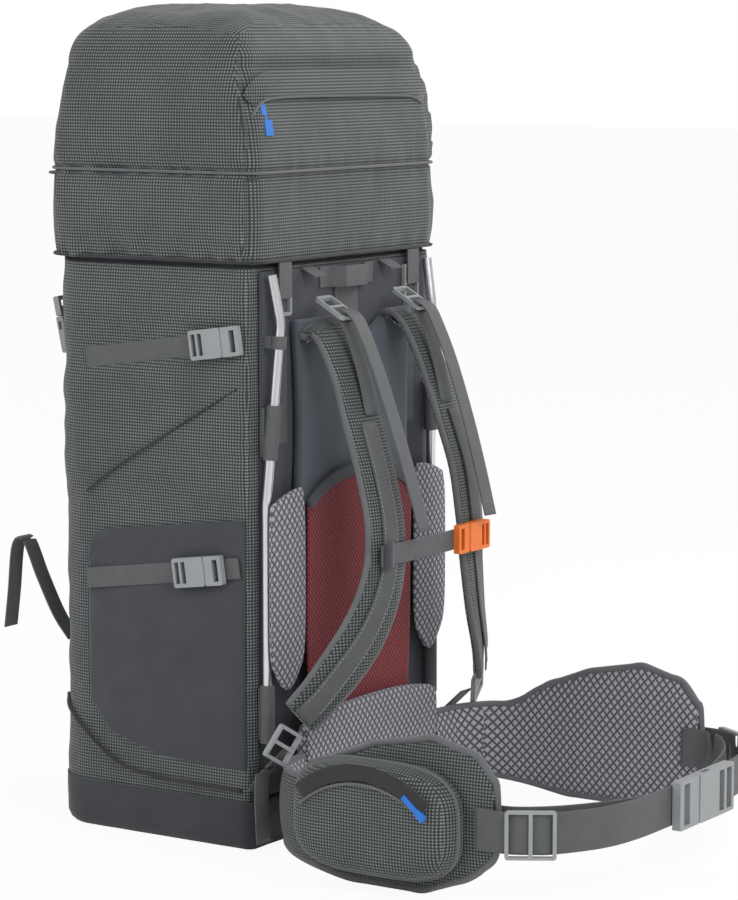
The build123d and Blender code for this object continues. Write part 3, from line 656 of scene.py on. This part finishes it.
# ---------------------------------------------------------------- the lid
@dataclass
class Lid:
    """The floating lid: a domed pocket with a storm flap and front straps."""

    half_width: float = 166.0
    rear: float = -131.0
    front: float = 130.0
    bottom: float = 556.0
    seam: float = 640.0
    rim: float = 738.0
    peak: float = 800.0
    columns: int = 300

    def section(self, z: float) -> tuple:
        """The half width, rear and front of the lid at a height below the rim."""
        lean = min(max((z - self.seam) / (self.rim - self.seam), 0), 1)
        low = 1 - lean
        return (self.half_width - 3 - 8 * lean ** 1.5, self.rear + 15 * lean ** 1.3,
                self.front - 6 * low - 20 * lean ** 1.1)

    def build(self) -> None:
        """Loft the walls and the dome as one cloth."""
        points = []
        heights = np.linspace(self.bottom, self.rim, 70)
        for z in heights:
            width, rear, front = self.section(z)
            for x, y, nx, ny in plan_ring(width, rear, front, 22, 42, self.columns):
                points.append(self.cloth_point(x, y, nx, ny, z))
        width, rear, front = self.section(self.rim)
        rounds = 46
        for i in range(1, rounds + 1):
            turn = i / rounds * math.pi / 2
            shrink = math.cos(turn) ** 0.62
            rise = (self.peak - 3 - self.rim) * math.sin(turn) ** 0.85
            for x, y, nx, ny in plan_ring(width, rear, front, 22, 42, self.columns):
                cx, cy = x * shrink, (y - 8) * shrink + 8
                slope = -10 * (1 - math.sin(turn)) * max(0, -y / 110)
                wrinkle = 2.4 * ripple(cx, cy, 0, 38, 2.0) + 0.9 * ripple(cx, cy, 0, 14, 4.0)
                base = self.cloth_point(x, y, nx, ny, self.rim)
                blend = min(i / 6, 1)
                points.append((cx * blend + base[0] * shrink * (1 - blend), cy * blend + base[1] * (1 - blend),
                               self.rim + rise + slope * blend * math.sin(turn) + wrinkle * blend - 1))
        rows = len(heights) + rounds
        faces = rings_to_faces(rows, self.columns)
        new_piece("lid_cloth", np.array(points), faces, Finish.GRID, "lid", ["lid_shell"], 2.4)

    def cloth_point(self, x: float, y: float, nx: float, ny: float, z: float) -> tuple:
        """A point of the lid's wall, with its fullness, its seam and its gathered hem."""
        lower = (z - self.bottom) / (self.seam - self.bottom)
        upper = (z - self.seam) / (self.rim - self.seam)
        if z < self.seam:
            puff = 4.5 * math.sin(math.pi * min(max(lower, 0), 1)) ** 0.7
        else:
            puff = 8.0 * math.sin(math.pi * min(upper, 1) * 0.93) ** 0.7
        puff -= 3.0 * math.exp(-((z - self.seam) / 3.5) ** 2)
        hem = max(0, 1 - (z - self.bottom) / 26)
        along = x * abs(ny) + y * abs(nx)
        puff += hem * 2.2 * math.sin(along / 5.5 + 1.5 * ripple(along, 0, 0, 40)) - hem * 2
        puff += 3.0 * ripple(x, y, z * 0.8, 36, 7.0) + 1.0 * ripple(x, y, z, 14, 1.0)
        near_seam = math.exp(-abs(z - self.seam) / 13)
        puff += near_seam * 1.5 * math.sin(along / 4.2 + 3.0 * ripple(along, z, 0, 30))
        if ny > 0.4:
            puff = puff * 0.5 - 2.0
        if ny < -0.6:
            puff = puff * 0.3 - 2.6
        return x + nx * puff, y + ny * puff, z

    def build_trim(self) -> None:
        """Storm flap, zip line, hem and front straps."""
        flap = [(-150, -119, 704), (-138, -122, 717), (-110, -123, 722), (0, -124, 722), (110, -123, 720),
                (138, -122, 714), (150, -119, 704)]
        strap("lid_storm_flap", flap, (0, -0.98, 0.19), 24, "lid", ["lid_zip_flap"], 2.4, Finish.GRID)
        low = [(x, y - 1.2, z - 13) for x, y, z in flap]
        piping("lid_flap_edge", low, 1.6, "lid", Finish.BINDING)
        for level, name in ((self.seam, "lid_seam"), (self.bottom + 1.5, "lid_hem")):
            ring = plan_ring(self.half_width - 3, self.rear - 0.4, self.front - 6.5, 22, 42, 120)
            line = [(x, y, level) for x, y, _, _ in ring] + [(ring[0][0], ring[0][1], level)]
            piping(name, line, 1.5, "lid", Finish.BINDING if level == self.seam else Finish.ZIP)
        for side in Side:
            run = [(-97, 133.2, 500), (-97, 133.5, 525), (-97, 133.5, 560), (-97, 136.5, 592), (-97, 133.5, 622)]
            strap(f"lid_front_web_{side.word}", flip(run, side), (0, 1, 0), 20, "lid",
                  ["lid_front_straps"] if side is Side.RIGHT else [])


# ---------------------------------------------------------------- back and harness
@dataclass
class BackPanel:
    """The mesh that the wearer leans on, its side pads, the harness plate and a dark sheet of painted shade on the
    bag's back.
    """

    rows: int = 60
    columns: int = 46

    def sheet(self, name: str, low: Callable, high: Callable, half: Callable, depth: Callable, finish: Finish,
              body: str, nodes: Sequence[str], wall: float, centre: float = 0.0) -> None:
        """Make a panel that faces the wearer.

        Args:
            name: the piece's name.
            low: its lower edge at a share of its width.
            high: its upper edge at a share of its width.
            half: its half width at a share of its height.
            depth: its Y at the two shares.
            finish: its finish.
            body: the body that it rides on.
            nodes: the CAD nodes that it stands for.
            wall: its thickness.
            centre: its middle in X.
        """
        points = []
        for r in range(self.rows):
            t = r / (self.rows - 1)
            for c in range(self.columns):
                s = c / (self.columns - 1)
                points.append((centre + half(t) * (2 * s - 1), depth(s, t), low(s) + (high(s) - low(s)) * t))
        new_piece(name, np.array(points), rings_to_faces(self.rows, self.columns, False), finish, body, nodes, wall)

    def build(self) -> None:
        """Make the panels."""
        self.sheet("back_mesh_cloth", lambda s: 60, lambda s: 348 - 26 * abs(2 * s - 1) ** 2.5,
                   lambda t: 85 + 7 * min(t * 2, 1), lambda s, t: -143.5 + 1.5 * math.sin(math.pi * t),
                   Finish.RED, "pack", ["back_mesh"], 1.2)
        # Painted shade: a dark sheet with no CAD node, laid over the bag's back to stand for the shadow behind the back
        # panel.
        self.sheet("back_cloth", lambda s: 50, lambda s: 548, lambda t: 146, lambda s, t: -125.15
                   + 0.5 * ripple(s * 290, 0, t * 490, 25) - 0.5, Finish.DARK, "pack", [], 0.4)
        edge = [(-91 + 182 * i / 12, -144.0, 350 - 26 * abs(i / 6 - 1) ** 2.5) for i in range(13)]
        strap("mesh_binding", edge, (0, -1, 0), 12, "pack", (), 2.4, Finish.DARK)
        for side in Side:
            outer = (lambda s: s) if side is Side.LEFT else (lambda s: 1 - s)
            self.sheet(f"side_pad_cloth_{side.word}", lambda s: 176 - 24 * math.sin(math.pi * s),
                       lambda s: 343 - 13 * outer(s) ** 2, lambda t: 29.5 - 5 * abs(2 * t - 1) ** 6,
                       lambda s, t: -143.5 - 3.2 * (math.sin(math.pi * s) * math.sin(math.pi * t)) ** 0.4,
                       Finish.GREY, "pack", [f"side_pad_{side.word}"], 4.0, -126.0 * side.value)
        self.sheet("yoke_cloth", lambda s: 300, lambda s: 478 + 22 * min(abs(2 * s - 1) / 0.6, 1) ** 2,
                   lambda t: 100 - 6 * math.sin(math.pi * t), lambda s, t: -136.4 - 1.4 * math.sin(math.pi * s) ** 0.5
                   - 0.6 * ripple(s * 200, 0, t * 180, 30), Finish.YOKE, "harness", ["yoke"], 7.0)


@dataclass
class Harness:
    """Padded shoulder straps with their webbing, lifters and chest strap."""

    pad: list = field(default_factory=lambda: [(-72, -138, 492), (-72, -157, 487), (-72, -178, 450), (-74.5, -194, 405),
                                               (-76.5, -212, 350), (-76, -220.5, 300), (-83, -220, 252),
                                               (-104, -211, 205), (-140, -194, 160), (-162, -181, 136)])

    @staticmethod
    def pad_width(share: float) -> float:
        """The pad's width at a share of its length."""
        return 50 - 12 * max(0, (share - 0.72) / 0.28) ** 1.5

    def build(self, side: Side) -> None:
        """Make one side's straps.

        Args:
            side: the side of the wearer.
        """
        line = smooth_line(flip(self.pad, side), 4)
        out = (-0.12 * side.value, -0.93, 0.33)
        width = self.pad_width
        shape = sweep(line, out, width, lambda s: 11 - 3 * s ** 4, 3.0, 30)
        pad = new_piece(f"pad_{side.word}", *shape, Finish.GRID, "harness", [f"shoulder_pad_{side.word}"])
        tangents = np.gradient(line, axis=0)
        tangents /= np.linalg.norm(tangents, axis=1)[:, None]
        shares = np.linspace(0, 1, len(line))
        across = np.cross(tangents, np.asarray(out))
        across /= np.linalg.norm(across, axis=1)[:, None]
        face = np.cross(across, tangents)
        for k, sign in enumerate((-1, 1)):
            edge = line + across * (sign * np.array([width(s) / 2 - 0.8 for s in shares]))[:, None]
            shape = sweep(edge, out, lambda s: 5.0, lambda s: 6.4, 2.2, 12)
            new_piece(f"pad_edge_{side.word}_{k}", *shape, Finish.BINDING, "harness")
        under = line - face * 5.0
        shape = sweep(under, out, lambda s: width(s) - 7, lambda s: 3.2, 3.0, 20)
        new_piece(f"pad_lining_{side.word}", *shape, Finish.GREY, "harness")
        start = int(len(line) * 0.27)
        top = (line + face * 6.6)[start:]
        shape = sweep(top, out, lambda s: 21, lambda s: 1.9, 7.0, 16)
        new_piece(f"pad_web_{side.word}", *shape, Finish.WEB, "harness", [f"shoulder_webbing_{side.word}"])
        rows = [(line + face * 7.7 + across * offset)[start + 2:-4] for offset in (-8.4, 8.4)]
        STITCHES.rows(f"pad_stitches_{side.word}", rows, "harness")
        lift = [(-67, -199, 412), (-67, -190, 450), (-67, -176, 488), (-67, -167, 503.4), (-67, -157.5, 508.4)]
        tail = [(-65, -168, 509.8), (-65, -179, 505), (-65, -187, 494), (-65, -205, 455), (-64, -225, 400),
                (-62, -241, 350), (-60, -254, 305)]
        strap(f"lifter_web_{side.word}", flip(lift, side), (0, -0.9, 0.4), 20, "harness",
              [f"load_lifter_{side.word}"])
        strap(f"lifter_tail_{side.word}", flip(tail, side), (0, -0.9, 0.4), 20, "harness")
        hold = [(-158, -126.3, 60), (-158, -140, 79), (-158, -167.5, 105.5)]
        hang = [(-174, -146.6, 82), (-175, -146, 60), (-176, -149, 15)]
        strap(f"lower_web_{side.word}", flip(hold, side), (0, -0.7, 0.7), 22, "pack", [f"lower_strap_{side.word}"])
        strap(f"lower_tail_{side.word}", flip(hang, side), (0, -1, 0), 22, "pack")

    def build_chest(self) -> None:
        """Make the chest strap's webbing."""
        run = [(-98, -230.4, 283), (-60, -231.2, 283), (-20, -231.8, 282.6), (20, -231.2, 283), (44, -230.8, 283)]
        strap("chest_web", run, (0, -1, 0), 20, "sternum", ["sternum_webbing"])
        fold = [(-96, -231.8, 283), (-88, -233.6, 283), (-80, -231.8, 283)]
        strap("chest_web_keeper", fold, (0, -1, 0), 24, "sternum", (), 2.2, Finish.DARK)


# ---------------------------------------------------------------- hip belt
@dataclass
class HipBelt:
    """Lumbar pad, wings, pockets and belt webbing."""

    plan: list = field(default_factory=lambda: [(-116.5, -153.5), (-150, -160), (-177, -178), (-192, -205),
                                                (-198, -240),
                                                (-198, -285), (-198, -330), (-197, -375), (-196, -415)])
    pocket_centre: Point = (-205.5, -299.0, 67.0)
    pocket_half: tuple = (87.0, 53.0)

    def edges(self, y: float) -> tuple:
        """The wing's lower and upper edge at a place along it."""
        places = (-418, -412, -396, -350, -290, -235, -205, -150)
        low = np.interp(y, (-418, -412, -392, -340, -260, -185, -150), (56, 42, 22, 3, 3, 16, 24))
        return float(low), float(np.interp(y, places, (98, 112, 132, 144, 132, 110, 90, 88)))

    def wing(self, side: Side) -> None:
        """Make a wing with its lining and edges."""
        line = smooth_line([(x, y, 0) for x, y in self.plan], 5)
        tangents = np.gradient(line, axis=0)
        tangents /= np.linalg.norm(tangents, axis=1)[:, None]
        normals = np.column_stack([tangents[:, 1], -tangents[:, 0], np.zeros(len(line))])
        count = 40
        outer, inner, upper, lower = [], [], [], []
        for place, normal in zip(line, normals):
            low, high = self.edges(place[1])
            for k in range(count):
                t = k / (count - 1)
                full = max(math.sin(math.pi * t), 0) ** 0.45
                z = low + (high - low) * t
                outer.append(place + normal * (6.8 * full) + np.array((0, 0, z)))
                inner.append(place - normal * (6.8 * full) + np.array((0, 0, z)))
            upper.append(place + np.array((0, 0, high)))
            lower.append(place + np.array((0, 0, low)))
        sign = np.array((side.value, 1, 1))
        rows = len(line)
        faces = rings_to_faces(rows, count, False)
        for label, cloud, finish, nodes in (("shell", outer, Finish.GRID, [f"belt_wing_{side.word}"]),
                                            ("lining", inner, Finish.GREY, [])):
            piece = new_piece(f"wing_{label}_{side.word}", np.array(cloud) * sign, faces, finish, "pack", nodes, 1.0)
            self.face_out(piece, label == "shell", side)
        rim = [tuple(p * sign) for p in upper[::3]] + [tuple(upper[-1] * sign)]
        rim += [tuple(p * sign) for p in lower[::-3]]
        piping(f"wing_edge_{side.word}", rim, 3.4, "pack", Finish.BINDING, (0.95, 0.3, 0.1))

    @staticmethod
    def face_out(piece: bpy.types.Object, shell: bool, side: Side) -> None:
        """Turn a wing's cloth to face away from the pad's middle."""
        total = sum((p.normal.x * p.area for p in piece.data.polygons), 0.0)
        wanted = -side.value if shell else side.value
        if total * wanted < 0:
            piece.data.flip_normals()

    def pocket(self, side: Side) -> None:
        """Make the zipped pocket as a crowned D-shaped form."""
        cx, cy, cz = self.pocket_centre
        half_y, half_z = self.pocket_half
        points = []
        rings, count = 26, 96
        for i in range(rings):
            turn = i / (rings - 1) * math.pi / 2
            scale = math.cos(turn) ** 0.28 if i < rings - 1 else 0.0
            rise = 34.5 * math.sin(turn) ** 0.9
            for k in range(count):
                a = 2 * math.pi * k / count
                c, s = math.cos(a), math.sin(a)
                u = math.copysign(abs(c) ** 0.62, c) * half_y * scale
                v = math.copysign(abs(s) ** 0.62, s) * half_z * scale
                crease = 1.1 * ripple(u, v, 0, 20) * math.sin(turn)
                points.append(((cx - rise * 0.93 - crease) * side.value, cy + u, cz + v))
        new_piece(f"belt_pocket_cloth_{side.word}", np.array(points), rings_to_faces(rings, count), Finish.GRID, "pack",
                  [f"belt_pocket_{side.word}"], 1.6)
        arc = [(cx - 33.2 - 0.6 * math.cos(math.radians(a)), cy - 100 * math.sin(math.radians(a)),
                6.5 + 100 * math.cos(math.radians(a)) + 7) for a in range(-42, 43, 6)]
        strap(f"belt_zip_flap_{side.word}", flip(arc, side), (-side.value, 0, 0), 15, "pack", (), 3.0, Finish.ZIP)
        seam = [(x + 0.5, y, z - 11) for x, y, z in arc]
        piping(f"belt_pocket_piping_{side.word}", flip(seam, side), 1.4, "pack", Finish.BINDING, (0.95, 0.3, 0.1))
        ring = [(cx - 8, cy + math.copysign(abs(math.cos(a)) ** 0.62, math.cos(a)) * (half_y - 0.2),
                 cz + math.copysign(abs(math.sin(a)) ** 0.62, math.sin(a)) * (half_z - 0.2))
                for a in np.linspace(0, 2 * math.pi, 40)]
        piping(f"belt_pocket_seam_{side.word}", flip(ring, side), 1.6, "pack", Finish.BINDING, (0.95, 0.3, 0.1))

    def lumbar(self) -> None:
        """Make the lumbar pad."""
        line = smooth_line([(-115, -152.5, 70), (-60, -151.8, 72), (0, -151.5, 72), (60, -151.8, 72),
                            (115, -152.5, 70)], 5)
        shape = sweep(line, (0, -1, 0), lambda s: 90 + 20 * math.sin(math.pi * s) ** 0.5, lambda s: 12.5, 4.0, 40)
        pad = new_piece("lumbar_cloth", *shape, Finish.GREY, "pack", ["lumbar_pad"])

    def webbing(self, side: Side) -> None:
        """Make the doubled belt webbing."""
        outer = [(-205.2, -398, 69), (-204.4, -430, 69), (-195, -450, 69), (-182.5, -466, 69), (-139, -490, 68.5),
                 (-90, -499.5, 68), (-22, -501.9, 68)]
        inner = [(-188.2, -398, 70), (-187, -424, 70), (-168, -452, 70), (-134, -474, 69), (-88, -487, 66),
                 (-60, -490, 64)]
        line = flip(outer, side)
        strap(f"belt_web_{side.word}", line, (0.5, 0.8, 0.0), 38, "pack", [f"belt_webbing_{side.word}"])
        strap(f"belt_web_return_{side.word}", flip(inner, side), (0.5, 0.8, 0.0), 38, "pack")


# ---------------------------------------------------------------- carried-over nodes
@dataclass
class Hardware:
    """Finishes for the nodes that keep their own shape."""

    words: dict = field(default_factory=lambda: {
        "sternum_socket": Finish.ORANGE, "sternum_prongs": Finish.ORANGE, "frame_tube": Finish.METAL,
        "zip_slider": Finish.BLUE, "socket": Finish.PLASTIC, "prongs": Finish.PLASTIC, "ladderlock": Finish.PLASTIC,
        "belt_slider": Finish.PLASTIC, "drawcord": Finish.BLUE, "liner": Finish.DARK, "mesh_hem": Finish.DARK})

    def dress(self) -> None:
        """Give each remaining node its finish."""
        for name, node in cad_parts.items():
            finish = next((f for word, f in self.words.items() if word in name), Finish.WEB)
            for slot in node.material_slots:
                slot.material = finish.material


# ---------------------------------------------------------------- studio
@dataclass
class Studio:
    """Floor, light and camera."""

    azimuth: float = -57.0
    elevation: float = 7.4
    distance: float = 3.23
    lens: float = 130.0
    aim: Point = (0.0697, -0.1074, 0.357)
    paper: float = 0.94
    camera_white: float = 0.93
    floor_gap: float = 0.0005
    sky_strength: float = 0.62
    lamp_aim: Point = (0, -0.1, 0.4)

    def build(self) -> None:
        """Make the studio."""
        bpy.ops.mesh.primitive_plane_add(size=40)
        floor = bpy.context.object
        floor.name = "studio_floor"
        g = Graph("floor_paper")
        g.set(Roughness=0.9)
        g.shader.inputs["Base Color"].default_value = (self.paper, self.paper, self.paper, 1)
        path = g.tree.nodes.new("ShaderNodeLightPath")
        white = g.tree.nodes.new("ShaderNodeEmission")
        white.inputs[0].default_value = (1, 1, 1, 1)
        mixed = g.tree.nodes.new("ShaderNodeMixShader")
        g.tree.links.new(g.math("MULTIPLY", path.outputs["Is Camera Ray"], self.camera_white), mixed.inputs[0])
        g.tree.links.new(g.shader.outputs[0], mixed.inputs[1])
        g.tree.links.new(white.outputs[0], mixed.inputs[2])
        g.tree.links.new(mixed.outputs[0], g.tree.nodes["Material Output"].inputs[0])
        floor.data.materials.append(g.material)
        floor.location.z = -self.floor_gap
        world = bpy.data.worlds.new("studio_sky")
        bpy.context.scene.world = world
        world.use_nodes = True
        sky = world.node_tree.nodes["Background"]
        sky.inputs[0].default_value = (1, 1, 1, 1)
        sky.inputs[1].default_value = self.sky_strength
        lit = world.node_tree.nodes.new("ShaderNodeBackground")
        lit.inputs[1].default_value = 1.0
        lit.inputs[0].default_value = (1, 1, 1, 1)
        rays = world.node_tree.nodes.new("ShaderNodeLightPath")
        blend = world.node_tree.nodes.new("ShaderNodeMixShader")
        link = world.node_tree.links.new
        link(rays.outputs["Is Camera Ray"], blend.inputs[0])
        link(sky.outputs[0], blend.inputs[1])
        link(lit.outputs[0], blend.inputs[2])
        link(blend.outputs[0], world.node_tree.nodes["World Output"].inputs[0])
        self.lamp("key", (-1.2, -2.6, 2.3), 44, 1.4)
        self.lamp("fill", (-2.6, 1.0, 1.5), 20, 1.8)
        self.lamp("rim", (1.8, -1.0, 1.9), 22, 1.2)

    def lamp(self, name: str, place: Point, watts: float, size: float) -> None:
        """Add a soft area lamp that looks at the pack."""
        data = bpy.data.lights.new(name, "AREA")
        data.energy, data.size = watts, size
        lamp = bpy.data.objects.new(name, data)
        lamp.location = place
        lamp.rotation_euler = (Vector(self.lamp_aim) - Vector(place)).to_track_quat("-Z", "Y").to_euler()
        bpy.context.collection.objects.link(lamp)

    def camera(self) -> None:
        """Place the camera."""
        turn, tilt = math.radians(self.azimuth), math.radians(self.elevation)
        look = Vector((-math.sin(turn) * math.cos(tilt), math.cos(turn) * math.cos(tilt), -math.sin(tilt)))
        data = bpy.data.cameras.new("camera")
        data.lens = self.lens
        camera = bpy.data.objects.new("camera", data)
        camera.location = Vector(self.aim) - look * self.distance
        camera.rotation_euler = (math.pi / 2 - tilt, 0, turn)
        bpy.context.collection.objects.link(camera)
        bpy.context.scene.camera = camera
        bpy.context.scene.view_settings.view_transform = "Standard"


STITCHES = Stitching()


def main() -> None:
    """Build every piece, in order."""
    logging.basicConfig(level=logging.INFO)
    studio = Studio()
    studio.build()
    studio.camera()
    bag = Bag()
    bag.build_shell()
    bag.build_collar()
    bag.build_webbing()
    lid = Lid()
    lid.build()
    lid.build_trim()
    BackPanel().build()
    harness, belt = Harness(), HipBelt()
    harness.build_chest()
    belt.lumbar()
    for side in Side:
        bag.build_pocket(side)
        harness.build(side)
        belt.wing(side)
        belt.pocket(side)
        belt.webbing(side)
    Hardware().dress()


if __name__ == "__main__":
    main()
